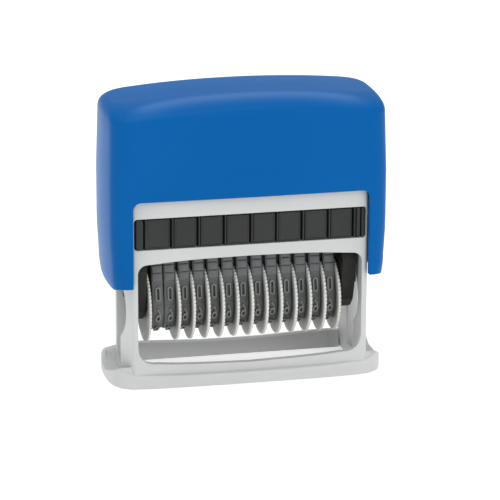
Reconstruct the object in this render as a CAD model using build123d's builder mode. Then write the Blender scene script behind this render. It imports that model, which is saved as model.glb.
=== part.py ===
from build123d import *
import os
import math

# Self-inking numbering stamp, millimetres, +Z up, X across the width,
# -Y is the front. The base stands on Z = 0.

os.makedirs("parts", exist_ok=True)

# ---------------------------------------------------------------- frame
frame_hw = 28.25        # half width of the frame over its side walls
frame_hd = 11.5         # half depth of the frame over front and rear panels
wall_t = 1.4            # side wall thickness
panel_t = 1.5           # front and rear panel thickness
frame_top = 46.2        # top edge of the panels
in_x = frame_hw - wall_t
in_y = frame_hd - panel_t

bulge_out = 1.2         # side walls bow outwards by this much halfway back
bulge_in = 0.2

flange_h = 3.3
pocket_z = 0.6          # floor of the pockets between the side walls and the rim
dip_z = 1.9             # the rim dips to this height halfway along each side
foot_top = 5.4          # height of the rim where it meets the front posts

deck_z = 41.7           # underside of the spring deck
deck_t = 1.0
spring_x = 12.0         # springs stand at plus and minus this X
spring_r = 3.0          # mean radius of the spring helix
spring_wire = 0.35      # wire radius
spring_turns = 7
spring_top = 66.3       # ceiling pad the springs push against

rail_z0, rail_z1 = 33.0, 33.8     # ledges that carry the ink cartridge

# ---------------------------------------------------------------- cartridge
cart_z0, cart_z1 = 33.95, 41.45   # front strip of the cartridge
cart_hw = 27.45
tray_hw = 26.6
tray_z1 = 41.3
tray_back = 9.6
pad_face = 33.85

# ---------------------------------------------------------------- press and flip
pivot_y = 0.5
pivot_z = 25.55         # pivot height at rest
stroke = 17.4
pin_r = 1.75
slot_y, slot_hw = 0.0, 2.5
slot_z0, slot_z1 = 4.2, 28.25
arm_x0, arm_x1 = 29.8, 31.05
arm_z0 = 25.4

# ---------------------------------------------------------------- numbering unit
group_x = -0.5          # the wheel set sits slightly left of centre
pitch = 3.5             # band spacing
count = 13
axle_v = -8.4           # axle height relative to the pivot
axle_r = 1.5
bore_r = 1.56
disc_r = 9.13
drum_r = 4.85
band_hw = 1.32          # half width of a band
disc_in, disc_out = 1.42, 2.08    # disc faces measured from the band centre
face_v = 8.0            # printing face relative to the pivot
spacer_r, spacer_t = 5.75, 0.36    # thin ring between the first two bands
left_plate = (-26.4, -24.0)
right_plate = (22.95, 26.1)


def w(y):
    """Y of a point given forward/back of the pivot axis."""
    return pivot_y + y


def v(z):
    """Z of a point given above/below the pivot axis."""
    return pivot_z + z


# ================================================================ base flange
# one quarter of the flange's outline in plan, from the middle of the front to the middle of the side
quarter = [(0.0, 12.6), (10.0, 12.55), (18.0, 12.4), (24.5, 12.05), (28.0, 11.6), (29.8, 10.8), (31.2, 9.5),
           (32.1, 7.8), (32.6, 6.0), (32.9, 4.0), (33.05, 0.0)]


def rim_outline(inset):
    """Closed outline of the flange, moved inwards by inset along each quarter point's own normal."""
    pts = []
    for k, (x, y) in enumerate(quarter):
        x0, y0 = quarter[k - 1] if k else (-quarter[1][0], quarter[1][1])
        x1, y1 = quarter[k + 1] if k + 1 < len(quarter) else (quarter[-2][0], -quarter[-2][1])
        tx, ty = x1 - x0, y1 - y0
        n = math.hypot(tx, ty)
        pts.append((x + inset * ty / n, y - inset * tx / n))
    right = [(x, -y) for x, y in pts] + [(x, y) for x, y in reversed(pts[:-1])]
    return right + [(-x, y) for x, y in reversed(right[1:-1])]


with BuildPart() as base:
    with BuildSketch(Plane.XY):
        with BuildLine():
            Spline(*rim_outline(0.0), periodic=True)
        make_face()
    extrude(amount=flange_h)
    chamfer(base.edges().group_by(Axis.Z)[0], length=0.3)
    fillet(base.edges().group_by(Axis.Z)[-1], radius=0.4)
    with BuildSketch(Plane.XY):
        RectangleRounded(2 * in_x, 2 * in_y, 1.0)
    extrude(amount=flange_h, mode=Mode.SUBTRACT)
    # pockets between the side walls and the rim
    pocket = [(28.7, -10.4), (29.4, -7.0), (29.75, -3.5), (29.8, 0.0), (29.75, 3.5), (29.4, 7.0), (28.7, 9.8),
              (30.0, 9.8), (31.1, 8.5), (31.7, 6.5), (32.0, 4.0), (32.1, 0.0), (31.95, -4.0), (31.6, -6.2),
              (30.7, -8.4), (29.5, -9.9)]
    with BuildSketch(Plane.XY.offset(pocket_z)):
        Polygon(*pocket, align=None)
        Polygon(*[(-x, y) for x, y in reversed(pocket)], align=None)
    extrude(amount=flange_h, mode=Mode.SUBTRACT)
    # the rim dips beside the cap's lower ends
    for sx in (-1, 1):
        with BuildSketch(Plane.XZ.offset(-4.9)):
            with Locations((sx * 32.6, (dip_z + 5.0) / 2)):
                Rectangle(2.4, 5.0 - dip_z)
        extrude(amount=6.9, mode=Mode.SUBTRACT)
base.part.label = "base_flange"
export_step(base.part, "parts/base_flange.step")

# ================================================================ corner ramps
# the rim rises round the four corners: up to the front posts, and level behind
with BuildPart() as ramps:
    with BuildSketch(Plane.XY.offset(flange_h)):
        with BuildLine():
            Spline(*rim_outline(0.12), periodic=True)
        make_face()
        with BuildLine():
            Spline(*rim_outline(1.05), periodic=True)
        make_face(mode=Mode.SUBTRACT)
    extrude(amount=3.0)
    with BuildSketch(Plane.YZ.offset(-40)):
        Polygon((-13.0, flange_h), (-13.0, foot_top), (-10.8, foot_top), (-8.5, 4.7), (-6.1, 4.0), (-4.2, flange_h),
                align=None)
        Polygon((5.9, flange_h), (6.4, 4.0), (13.0, 4.0), (13.0, flange_h), align=None)
    extrude(amount=80, mode=Mode.INTERSECT)
    with Locations((0, 0, 4.5)):
        Box(2 * (frame_hw + 0.02), 30, 5, mode=Mode.SUBTRACT)
ramps.part.label = "corner_ramps"
export_step(ramps.part, "parts/corner_ramps.step")

# window outline, left half mirrored to the right
sill = [(0.0, 4.97), (14.0, 5.4), (21.6, 5.96), (22.7, 6.25), (25.35, 6.85), (26.3, 7.8), (26.8, 9.2)]
head = [(26.8, 28.0), (26.2, 29.44), (25.2, 30.15), (24.3, 30.4), (17.0, 30.86), (12.7, 31.1), (0.0, 31.25)]
window_right = sill + head
window_pts = window_right + [(-x, z) for x, z in reversed(window_right[1:-1])]
# the rear window is open down to the flange
rear_right = [(0.0, flange_h - 0.5), (26.8, flange_h - 0.5)] + head
rear_pts = rear_right + [(-x, z) for x, z in reversed(rear_right[1:-1])]

# ================================================================ front panel
with BuildPart() as front:
    with BuildSketch(Plane.XY.offset(flange_h)):
        with Locations((0, -(frame_hd + in_y) / 2)):
            Rectangle(2 * frame_hw, panel_t)
    extrude(amount=frame_top - flange_h)
    outer_v = front.edges().filter_by(Axis.Z).filter_by(lambda e: e.center().Y < -frame_hd + 0.1)
    fillet(outer_v, radius=1.1)
    with BuildSketch(Plane.XZ.offset(in_y - 1)):
        Polygon(*window_pts, align=None)
    extrude(amount=panel_t + 2, mode=Mode.SUBTRACT)
    # slot the ink cartridge slides into
    with BuildSketch(Plane.XZ.offset(in_y - 1)):
        with Locations((0, (cart_z0 + cart_z1) / 2)):
            Rectangle(2 * (cart_hw + 0.15), cart_z1 - cart_z0 + 0.2)
    extrude(amount=panel_t + 2, mode=Mode.SUBTRACT)
front.part.label = "frame_front"
export_step(front.part, "parts/frame_front.step")

# ================================================================ rear panel
with BuildPart() as rear:
    with BuildSketch(Plane.XY.offset(flange_h)):
        with Locations((0, (frame_hd + in_y) / 2)):
            Rectangle(2 * frame_hw, panel_t)
    extrude(amount=frame_top - flange_h)
    outer_v = rear.edges().filter_by(Axis.Z).filter_by(lambda e: e.center().Y > frame_hd - 0.1)
    fillet(outer_v, radius=1.1)
    with BuildSketch(Plane.XZ.offset(-in_y + 1)):
        Polygon(*rear_pts, align=None)
    extrude(amount=-(panel_t + 2), mode=Mode.SUBTRACT)
    # opening for pushing the cartridge out from behind
    with BuildSketch(Plane.XZ.offset(-in_y + 1)):
        with Locations((0, 37.5)):
            RectangleRounded(20.0, 5.4, 1.2)
    extrude(amount=-(panel_t + 2), mode=Mode.SUBTRACT)
rear.part.label = "frame_rear"
export_step(rear.part, "parts/frame_rear.step")

# ================================================================ side walls
# front edge of the cam bulge, Y and Z
lens = [(-1.0, 25.2), (-2.5, 24.2), (-4.5, 23.0), (-6.2, 21.6), (-7.1, 19.2), (-7.2, 17.4), (-6.7, 14.8),
        (-5.2, 12.6), (-4.0, 11.5), (-2.5, 10.5), (-1.0, 9.6)]
for name, sx in (("frame_left_side", -1), ("frame_right_side", 1)):
    with BuildPart() as side:
        # bowed wall, thickest at the guide slot
        with BuildSketch(Plane.XY.offset(flange_h)):
            with BuildLine():
                ThreePointArc((sx * frame_hw, -in_y), (sx * (frame_hw + bulge_out), 0), (sx * frame_hw, in_y))
                Line((sx * frame_hw, in_y), (sx * in_x, in_y))
                ThreePointArc((sx * in_x, in_y), (sx * (in_x + bulge_in), 0), (sx * in_x, -in_y))
                Line((sx * in_x, -in_y), (sx * frame_hw, -in_y))
            make_face()
        extrude(amount=frame_top - flange_h)
        # ledge for the cartridge
        with Locations((sx * (in_x - 0.6), 0, (rail_z0 + rail_z1) / 2)):
            Box(1.8, 2 * in_y, rail_z1 - rail_z0)
        # vertical guide slot with the cam bulge towards the front
        with BuildSketch(Plane.YZ.offset(min(sx * in_x, sx * 30) - 1.0)):
            with Locations((slot_y, (slot_z0 + slot_z1) / 2)):
                RectangleRounded(2 * slot_hw, slot_z1 - slot_z0, 1.2)
            Polygon(*lens, align=None)
        extrude(amount=5.0, mode=Mode.SUBTRACT)
    side.part.label = name
    export_step(side.part, f"parts/{name}.step")

# ================================================================ spring deck
with BuildPart() as deck:
    with Locations((0, 0, deck_z + deck_t / 2)):
        Box(2 * in_x, 2 * in_y, deck_t)
    for sx in (-1, 1):
        with Locations((sx * spring_x, 0, deck_z + deck_t + 0.75)):
            Cylinder(2.2, 1.5)
deck.part.label = "spring_deck"
export_step(deck.part, "parts/spring_deck.step")

# ================================================================ springs
spring_z0 = deck_z + deck_t + spring_wire
spring_len = spring_top - spring_wire - spring_z0
for name, sx in (("return_spring_left", -1), ("return_spring_right", 1)):
    with BuildPart() as spring:
        with BuildLine():
            coil = Helix(pitch=spring_len / spring_turns, height=spring_len, radius=spring_r,
                         center=(sx * spring_x, 0, spring_z0))
        with BuildSketch(Plane(origin=coil @ 0, z_dir=coil % 0)):
            Circle(spring_wire)
        sweep(path=coil, is_frenet=True)
    spring.part.label = name
    export_step(spring.part, f"parts/{name}.step")

# ================================================================ ink cartridge
with BuildPart() as tray:
    # front strip that closes the slot in the front panel
    with Locations((0, -(frame_hd - 0.7), (cart_z0 + cart_z1) / 2)):
        Box(2 * cart_hw, 1.4, cart_z1 - cart_z0)
    with BuildSketch(Plane.XZ.offset(frame_hd - 0.35)):
        for k in range(-4, 4):
            with Locations(((k + 0.5) * 6.4 - 0.1, (cart_z0 + cart_z1) / 2)):
                Rectangle(5.9, cart_z1 - cart_z0 - 0.6)
    extrude(amount=0.35, mode=Mode.SUBTRACT)
    with BuildSketch(Plane.XZ.offset(frame_hd - 0.36)):
        for k in range(-4, 4):
            with Locations(((k + 0.5) * 6.4 - 0.1, (cart_z0 + cart_z1) / 2)):
                Rectangle(5.4, cart_z1 - cart_z0 - 1.0)
    extrude(amount=0.36)
    # tray body
    y0, y1 = -(frame_hd - 1.4), tray_back
    with Locations((0, (y0 + y1) / 2, (cart_z0 + tray_z1) / 2)):
        Box(2 * tray_hw, y1 - y0, tray_z1 - cart_z0)
    # pad bay open downwards
    with Locations((0, 0.5, (cart_z0 + 37.5) / 2 - 0.05)):
        Box(49.0, 13.0, 37.5 - cart_z0 + 0.1, mode=Mode.SUBTRACT)
tray.part.label = "ink_tray"
export_step(tray.part, "parts/ink_tray.step")

with BuildPart() as pad:
    with Locations((0, 0.5, (pad_face + 37.5) / 2)):
        Box(49.0, 13.0, 37.5 - pad_face)
pad.part.label = "ink_pad"
export_step(pad.part, "parts/ink_pad.step")

# ================================================================ handle cap
def front_outline(hw_top, hw_mid, hw_bot, top, drop, rad, z_bot):
    """Closed outline in X and Z of the cap seen from the front."""
    pts = [(-hw_bot, z_bot), (-hw_mid, 38.0), (-hw_mid, 58.0), (-hw_top, top - drop - rad)]
    for k in range(1, 7):
        a = math.pi - k * math.pi / 14
        pts.append((-hw_top + rad + rad * math.cos(a), top - drop - rad + rad * math.sin(a)))
    for k in range(-6, 1):
        x = k / 6 * (hw_top - rad)
        pts.append((x, top - drop * (x / (hw_top - rad)) ** 2))
    return pts + [(-x, z) for x, z in reversed(pts[:-1])]


def side_outline(hd, top, rad, z_bot):
    """Closed outline in Y and Z of the cap seen from the side."""
    pts = [(-hd, z_bot), (-hd, top - rad)]
    for k in range(1, 8):
        a = math.pi - k * math.pi / 14
        pts.append((-hd + rad + rad * math.cos(a), top - rad + rad * math.sin(a)))
    return pts + [(-x, z) for x, z in reversed(pts)]


def plan_outline(hw, hw_mid, hd, rad):
    """Closed outline in X and Y of the cap seen from above."""
    pts = []
    for k in range(0, 9):
        y = -(hd - rad) + k / 8 * 2 * (hd - rad)
        pts.append((hw + (hw_mid - hw) * (1 - (y / (hd - rad)) ** 2), y))
    for k in range(1, 9):
        a = k * math.pi / 16
        pts.append((hw - rad + rad * math.cos(a), hd - rad + rad * math.sin(a)))
    half = pts + [(-x, y) for x, y in reversed(pts)]
    low = [(x, -y) for x, y in pts[9:]]
    low_left = [(-x, y) for x, y in low]
    return half + low_left + list(reversed(low))


cap_bot, cap_top, cap_hd, cap_t = 25.25, 68.7, 13.7, 1.8
with BuildPart() as cavity:
    with BuildSketch(Plane.XZ.offset(-cap_hd)):
        Polygon(*front_outline(31.4, 31.9, 31.1, cap_top - cap_t, 1.9, 3.2, cap_bot - 1), align=None)
    extrude(amount=2 * cap_hd)
    with BuildSketch(Plane.YZ.offset(-40)):
        Polygon(*side_outline(cap_hd - cap_t, cap_top - cap_t, 3.7, cap_bot - 1), align=None)
    extrude(amount=80, mode=Mode.INTERSECT)
    with BuildSketch(Plane.XY.offset(cap_bot - 1)):
        Polygon(*plan_outline(31.1, 32.0, cap_hd - cap_t, 2.2), align=None)
    extrude(amount=60, mode=Mode.INTERSECT)

with BuildPart() as cap:
    with BuildSketch(Plane.XZ.offset(-cap_hd - 1)):
        Polygon(*front_outline(33.1, 33.5, 32.5, cap_top, 1.9, 5.0, cap_bot), align=None)
    extrude(amount=2 * cap_hd + 2)
    with BuildSketch(Plane.YZ.offset(-40)):
        Polygon(*side_outline(cap_hd, cap_top, 5.5, cap_bot), align=None)
    extrude(amount=80, mode=Mode.INTERSECT)
    with BuildSketch(Plane.XY.offset(cap_bot)):
        Polygon(*plan_outline(32.6, 33.5, cap_hd, 4.0), align=None)
    extrude(amount=60, mode=Mode.INTERSECT)
    add(cavity.part, mode=Mode.SUBTRACT)
    # cut-outs at front and rear that clear the window
    with BuildSketch(Plane.XZ.offset(-20)):
        with Locations((0, (cap_bot - 4.0 + 46.0) / 2)):
            RectangleRounded(56.2, 46.0 - cap_bot + 4.0, 1.8)
    extrude(amount=40, mode=Mode.SUBTRACT)
    # landings for the return springs
    for sx in (-1, 1):
        with Locations((sx * spring_x, 0, (spring_top + 67.6) / 2)):
            Cylinder(4.2, 67.6 - spring_top)
        with Locations((sx * spring_x, 0, spring_top - 1.25)):
            Cylinder(2.2, 2.5)
cap.part.label = "handle_cap"
export_step(cap.part, "parts/handle_cap.step")

# ================================================================ pivot arms
for name, sx in (("left_pivot_arm", -1), ("right_pivot_arm", 1)):
    xa, xb = sx * arm_x0, sx * arm_x1
    with BuildPart() as arm:
        with Locations(((xa + xb) / 2, pivot_y, (arm_z0 + 68.0) / 2)):
            Box(abs(xb - xa), 9.0, 68.0 - arm_z0)
        add(cavity.part, mode=Mode.INTERSECT)
        # round foot around the pivot
        with BuildSketch(Plane.YZ.offset(min(xa, xb) - 1)):
            with Locations((pivot_y, pivot_z)):
                Circle(pin_r)
        extrude(amount=abs(xb - xa) + 2, mode=Mode.SUBTRACT)
    arm.part.label = name
    export_step(arm.part, f"parts/{name}.step")

with BuildPart() as pins:
    for x0, x1 in ((-arm_x1, left_plate[1] - 0.2), (right_plate[0] + 0.2, arm_x1)):
        with BuildSketch(Plane.YZ.offset(x0)):
            with Locations((pivot_y, pivot_z)):
                Circle(pin_r)
        extrude(amount=x1 - x0)
pins.part.label = "pivot_pins"
export_step(pins.part, "parts/pivot_pins.step")

# ================================================================ carrier plates
plate_pts = [(-8.8, 1.95), (-7.5, -5.05), (-6.2, -8.55), (-3.8, -10.75), (-2.8, -11.3),
             (2.8, -11.3), (3.8, -10.75), (6.2, -8.55), (7.5, -5.05), (8.8, 1.95),
             (7.8, 5.0), (-7.8, 5.0)]
flip_v, flip_r = -5.2, 1.2
for name, (x0, x1), sx in (("carrier_left_plate", left_plate, -1), ("carrier_right_plate", right_plate, 1)):
    with BuildPart() as plate:
        with BuildSketch(Plane.YZ.offset(x0)):
            Polygon(*[(w(a), v(b)) for a, b in plate_pts], align=None)
            with Locations((w(0), v(0))):
                Circle(pin_r + 0.07, mode=Mode.SUBTRACT)
            with Locations((w(0), v(axle_v))):
                Circle(axle_r, mode=Mode.SUBTRACT)
        extrude(amount=x1 - x0)
        # follower stub that rides in the cam bulge of the side wall
        stub_x = x0 if sx < 0 else x1
        with BuildSketch(Plane.YZ.offset(stub_x)):
            with Locations((w(0), v(flip_v))):
                Circle(flip_r)
        extrude(amount=sx * (28.1 - abs(stub_x)))
    plate.part.label = name
    export_step(plate.part, f"parts/{name}.step")

# ================================================================ type bridge
with BuildPart() as bridge:
    with BuildSketch(Plane.YZ.offset(left_plate[1])):
        with Locations((w(0), v(3.6))):
            Rectangle(4.5, 5.0)
    extrude(amount=right_plate[0] - left_plate[1])
    # fins that keep the bands apart
    for k in range(1, count):
        x = group_x + (k - 7) * pitch + pitch / 2
        with Locations((x, w(0), v(4.05))):
            Box(0.44, 6.6, 5.9)
bridge.part.label = "type_bridge"
export_step(bridge.part, "parts/type_bridge.step")

# ================================================================ axle and spacer
with BuildPart() as axle:
    with BuildSketch(Plane.YZ.offset(left_plate[0])):
        with Locations((w(0), v(axle_v))):
            Circle(axle_r)
    extrude(amount=right_plate[1] - left_plate[0])
axle.part.label = "wheel_axle"
export_step(axle.part, "parts/wheel_axle.step")

with BuildPart() as spacer:
    with BuildSketch(Plane.YZ.offset(group_x - 5.5 * pitch - spacer_t / 2)):
        with Locations((w(0), v(axle_v))):
            Circle(spacer_r)
            Circle(axle_r, mode=Mode.SUBTRACT)
    extrude(amount=spacer_t)
spacer.part.label = "spacer_disc"
export_step(spacer.part, "parts/spacer_disc.step")

# ================================================================ wheels and bands
teeth = 58
rim = []
for k in range(teeth):
    for da, r in ((0.0, disc_r), (0.5, disc_r), (0.62, disc_r - 0.3), (0.88, disc_r - 0.3)):
        a = 2 * math.pi * (k + da) / teeth
        rim.append((w(r * math.cos(a)), v(axle_v) + r * math.sin(a)))


def band_loop(drum, half, top, rad):
    """Outline of a belt round the drum and over the bridge, in Y and Z."""
    cy, cz = half - rad, top - rad
    d = math.hypot(cy, cz - axle_v)
    base_a = math.atan2(cz - axle_v, cy)
    # direction of the normal of the belt's straight run on the rear side
    n = base_a - math.acos((drum - rad) / d)
    pts = []
    for k in range(0, 7):
        a = n + (math.pi / 2 - n) * k / 6
        pts.append((cy + rad * math.cos(a), cz + rad * math.sin(a)))
    pts += [(-a, b) for a, b in reversed(pts)]
    for k in range(0, 21):
        a = math.pi - n + (math.pi + 2 * n) * k / 20
        pts.append((drum * math.cos(a), axle_v + drum * math.sin(a)))
    return [(w(a), v(b)) for a, b in pts], n


outer_pts, tangent = band_loop(6.0, 3.6, 7.3, 1.8)
inner_pts, _ = band_loop(5.0, 2.6, 6.3, 0.8)

# raised characters: (Y, Z, outward angle) relative to the pivot
types = [(0.0, 7.3, 90.0)]
for s in (1, -1):
    ang = math.degrees(tangent)
    ny, nz = math.cos(tangent), math.sin(tangent)
    ty, tz = nz, -ny
    y0, z0 = 1.8 + 1.8 * ny, 5.5 + 1.8 * nz
    for t in (1.9, 6.9):
        types.append((s * (y0 + t * ty), z0 + t * tz, ang if s > 0 else 180 - ang))
for a in (-15.0, -62.0, -118.0, 195.0):
    types.append((6.0 * math.cos(math.radians(a)), axle_v + 6.0 * math.sin(math.radians(a)), a))

for i in range(count):
    number = i + 1
    cx = group_x + (number - 7) * pitch
    side = -1 if number == 1 else 1
    with BuildPart() as wheel:
        with BuildSketch(Plane.YZ.offset(cx + (-disc_out if side < 0 else disc_in))):
            Polygon(*rim, align=None)
        extrude(amount=disc_out - disc_in)
        with BuildSketch(Plane.YZ.offset(cx - disc_in if side < 0 else cx - band_hw)):
            with Locations((w(0), v(axle_v))):
                Circle(drum_r)
        extrude(amount=disc_in + band_hw)
        with BuildSketch(Plane.YZ.offset(cx - 3)):
            with Locations((w(0), v(axle_v))):
                Circle(bore_r)
        extrude(amount=6, mode=Mode.SUBTRACT)
    wheel.part.label = f"wheel_{number:02d}"
    export_step(wheel.part, f"parts/wheel_{number:02d}.step")

    with BuildPart() as band:
        with BuildSketch(Plane.YZ.offset(cx - band_hw)):
            Polygon(*outer_pts, align=None)
            Polygon(*inner_pts, align=None, mode=Mode.SUBTRACT)
        extrude(amount=2 * band_hw)
        for ty, tz, ang in types:
            with BuildSketch(Plane.YZ.offset(cx - 0.8)):
                with Locations(Location((w(ty), v(tz), 0), (0, 0, ang))):
                    with Locations((0.2, 0)):
                        Rectangle(1.0, 3.2)
            extrude(amount=1.6)
    band.part.label = f"band_{number:02d}"
    export_step(band.part, f"parts/band_{number:02d}.step")
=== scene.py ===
import math

import bmesh
import bpy
from mathutils import Matrix, Vector


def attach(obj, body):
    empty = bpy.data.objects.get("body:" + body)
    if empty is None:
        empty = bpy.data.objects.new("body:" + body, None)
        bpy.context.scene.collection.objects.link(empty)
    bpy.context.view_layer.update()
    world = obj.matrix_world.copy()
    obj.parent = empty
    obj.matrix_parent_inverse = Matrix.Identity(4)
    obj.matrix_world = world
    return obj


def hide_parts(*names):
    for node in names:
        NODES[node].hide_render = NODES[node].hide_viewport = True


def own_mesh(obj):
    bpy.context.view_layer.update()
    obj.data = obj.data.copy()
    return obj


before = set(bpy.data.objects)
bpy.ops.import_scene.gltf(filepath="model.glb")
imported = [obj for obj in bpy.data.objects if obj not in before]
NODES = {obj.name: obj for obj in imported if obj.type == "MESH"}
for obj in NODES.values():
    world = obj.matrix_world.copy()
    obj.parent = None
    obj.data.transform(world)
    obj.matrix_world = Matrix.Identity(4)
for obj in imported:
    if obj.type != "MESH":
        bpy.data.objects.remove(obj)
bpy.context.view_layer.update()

MM = 0.001
scene = bpy.context.scene
collection = scene.collection

# ------------------------------------------------------------------ dimensions, mm
FRAME_HW, FRAME_HD, WALL, PANEL = 28.25, 11.5, 1.4, 1.5
IN_X, IN_Y = FRAME_HW - WALL, FRAME_HD - PANEL
PIVOT_Y, PIVOT_Z = 0.5, 25.55
AXLE_V = -8.4
AXLE_Z = PIVOT_Z + AXLE_V
GROUP_X, PITCH, COUNT = -0.5, 3.5, 13
DISC_R = 9.13


# ------------------------------------------------------------------ materials
def material(name):
    m = bpy.data.materials.new(name)
    m.use_nodes = True
    nt = m.node_tree
    nt.nodes.clear()
    out = nt.nodes.new("ShaderNodeOutputMaterial")
    bsdf = nt.nodes.new("ShaderNodeBsdfPrincipled")
    nt.links.new(bsdf.outputs["BSDF"], out.inputs["Surface"])
    return m, nt, bsdf


def moulded(name, dark, light, rough, bump=0.02, grain=900.0, cloud=60.0, coat=0.0, coat_rough=0.1,
            rough_span=0.06, specular=0.5, sheen=0.0, sheen_tint=(1, 1, 1), fade=None, fade_by="x"):
    """Moulded plastic or rubber: slow colour cloud, fine surface grain in roughness and bump.

    fade is a list of (position in mm, factor) that scales the colour along X, or by radius about X, to paint shade."""
    m, nt, bsdf = material(name)
    tc = nt.nodes.new("ShaderNodeTexCoord")
    slow = nt.nodes.new("ShaderNodeTexNoise")
    slow.inputs["Scale"].default_value = cloud
    slow.inputs["Detail"].default_value = 4.0
    nt.links.new(tc.outputs["Object"], slow.inputs["Vector"])
    ramp = nt.nodes.new("ShaderNodeValToRGB")
    ramp.color_ramp.elements[0].position = 0.3
    ramp.color_ramp.elements[0].color = (*dark, 1)
    ramp.color_ramp.elements[1].position = 0.7
    ramp.color_ramp.elements[1].color = (*light, 1)
    nt.links.new(slow.outputs["Fac"], ramp.inputs["Fac"])
    colour_out = ramp.outputs["Color"]
    if fade:
        lo, hi = fade[0][0] * MM, fade[-1][0] * MM
        sep = nt.nodes.new("ShaderNodeSeparateXYZ")
        nt.links.new(tc.outputs["Object"], sep.inputs["Vector"])
        value = sep.outputs["X"]
        if fade_by == "radius":
            flat = nt.nodes.new("ShaderNodeCombineXYZ")
            nt.links.new(sep.outputs["Y"], flat.inputs["Y"])
            nt.links.new(sep.outputs["Z"], flat.inputs["Z"])
            ln = nt.nodes.new("ShaderNodeVectorMath")
            ln.operation = "LENGTH"
            nt.links.new(flat.outputs["Vector"], ln.inputs[0])
            value = ln.outputs["Value"]
        place = nt.nodes.new("ShaderNodeMapRange")
        place.inputs["From Min"].default_value = lo
        place.inputs["From Max"].default_value = hi
        nt.links.new(value, place.inputs["Value"])
        shade = nt.nodes.new("ShaderNodeValToRGB")
        els = shade.color_ramp.elements
        while len(els) < len(fade):
            els.new(0.5)
        for el, (pos, f) in zip(els, fade):
            el.position = (pos * MM - lo) / (hi - lo)
            el.color = (f, f, f, 1)
        nt.links.new(place.outputs["Result"], shade.inputs["Fac"])
        mul = nt.nodes.new("ShaderNodeVectorMath")
        mul.operation = "MULTIPLY"
        nt.links.new(ramp.outputs["Color"], mul.inputs[0])
        nt.links.new(shade.outputs["Color"], mul.inputs[1])
        colour_out = mul.outputs["Vector"]
    nt.links.new(colour_out, bsdf.inputs["Base Color"])
    fine = nt.nodes.new("ShaderNodeTexNoise")
    fine.inputs["Scale"].default_value = grain
    fine.inputs["Detail"].default_value = 6.0
    nt.links.new(tc.outputs["Object"], fine.inputs["Vector"])
    span = nt.nodes.new("ShaderNodeMapRange")
    span.inputs["From Min"].default_value = 0.3
    span.inputs["From Max"].default_value = 0.7
    span.inputs["To Min"].default_value = rough - rough_span / 2
    span.inputs["To Max"].default_value = rough + rough_span / 2
    nt.links.new(fine.outputs["Fac"], span.inputs["Value"])
    nt.links.new(span.outputs["Result"], bsdf.inputs["Roughness"])
    b = nt.nodes.new("ShaderNodeBump")
    b.inputs["Strength"].default_value = bump
    b.inputs["Distance"].default_value = 0.0002
    nt.links.new(fine.outputs["Fac"], b.inputs["Height"])
    nt.links.new(b.outputs["Normal"], bsdf.inputs["Normal"])
    bsdf.inputs["Specular IOR Level"].default_value = specular
    bsdf.inputs["Coat Weight"].default_value = coat
    bsdf.inputs["Coat Roughness"].default_value = coat_rough
    if sheen:
        bsdf.inputs["Sheen Weight"].default_value = sheen
        bsdf.inputs["Sheen Roughness"].default_value = 0.35
        bsdf.inputs["Sheen Tint"].default_value = (*sheen_tint, 1)
    return m


def metal(name, colour, rough, scale=1500.0):
    m, nt, bsdf = material(name)
    tc = nt.nodes.new("ShaderNodeTexCoord")
    mp = nt.nodes.new("ShaderNodeMapping")
    mp.inputs["Scale"].default_value = (0.08, 1.0, 1.0)
    nt.links.new(tc.outputs["Object"], mp.inputs["Vector"])
    n = nt.nodes.new("ShaderNodeTexNoise")
    n.inputs["Scale"].default_value = scale
    n.inputs["Detail"].default_value = 5.0
    nt.links.new(mp.outputs["Vector"], n.inputs["Vector"])
    ramp = nt.nodes.new("ShaderNodeValToRGB")
    ramp.color_ramp.elements[0].color = (*[c * 0.85 for c in colour], 1)
    ramp.color_ramp.elements[1].color = (*colour, 1)
    nt.links.new(n.outputs["Fac"], ramp.inputs["Fac"])
    nt.links.new(ramp.outputs["Color"], bsdf.inputs["Base Color"])
    span = nt.nodes.new("ShaderNodeMapRange")
    span.inputs["To Min"].default_value = rough - 0.08
    span.inputs["To Max"].default_value = rough + 0.08
    nt.links.new(n.outputs["Fac"], span.inputs["Value"])
    nt.links.new(span.outputs["Result"], bsdf.inputs["Roughness"])
    bsdf.inputs["Metallic"].default_value = 1.0
    return m


M_BLUE = moulded("blue_gloss", (0.0022, 0.099, 0.335), (0.0030, 0.106, 0.357), 0.30, bump=0.0, grain=400.0,
                 cloud=25.0, rough_span=0.02, specular=0.028, sheen=0.13, sheen_tint=(0.22, 0.60, 1.0))
def paint_highlight(m, attribute, colour, amount):
    """Painted highlight: lightens the base colour where a vertex attribute says so."""
    nt = m.node_tree
    bsdf = next(n for n in nt.nodes if n.type == "BSDF_PRINCIPLED")
    src = bsdf.inputs["Base Color"].links[0].from_socket
    at = nt.nodes.new("ShaderNodeAttribute")
    at.attribute_name = attribute
    scale = nt.nodes.new("ShaderNodeMath")
    scale.operation = "MULTIPLY"
    scale.inputs[1].default_value = amount
    nt.links.new(at.outputs["Fac"], scale.inputs[0])
    mix = nt.nodes.new("ShaderNodeMix")
    mix.data_type = "RGBA"
    nt.links.new(scale.outputs["Value"], mix.inputs[0])
    nt.links.new(src, mix.inputs[6])
    mix.inputs[7].default_value = (*colour, 1)
    nt.links.new(mix.outputs[2], bsdf.inputs["Base Color"])


# painted highlight along the rounded front edge of the cap's top
paint_highlight(M_BLUE, "painted_edge_highlight", (0.16, 0.30, 0.62), 0.27)


def scale_sheen(m, attribute, weight):
    nt = m.node_tree
    bsdf = next(n for n in nt.nodes if n.type == "BSDF_PRINCIPLED")
    at = nt.nodes.new("ShaderNodeAttribute")
    at.attribute_name = attribute
    scale = nt.nodes.new("ShaderNodeMath")
    scale.operation = "MULTIPLY"
    scale.inputs[1].default_value = weight
    nt.links.new(at.outputs["Fac"], scale.inputs[0])
    nt.links.new(scale.outputs["Value"], bsdf.inputs["Sheen Weight"])


# painted reflection: the sheen weight follows a per-vertex mask
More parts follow.
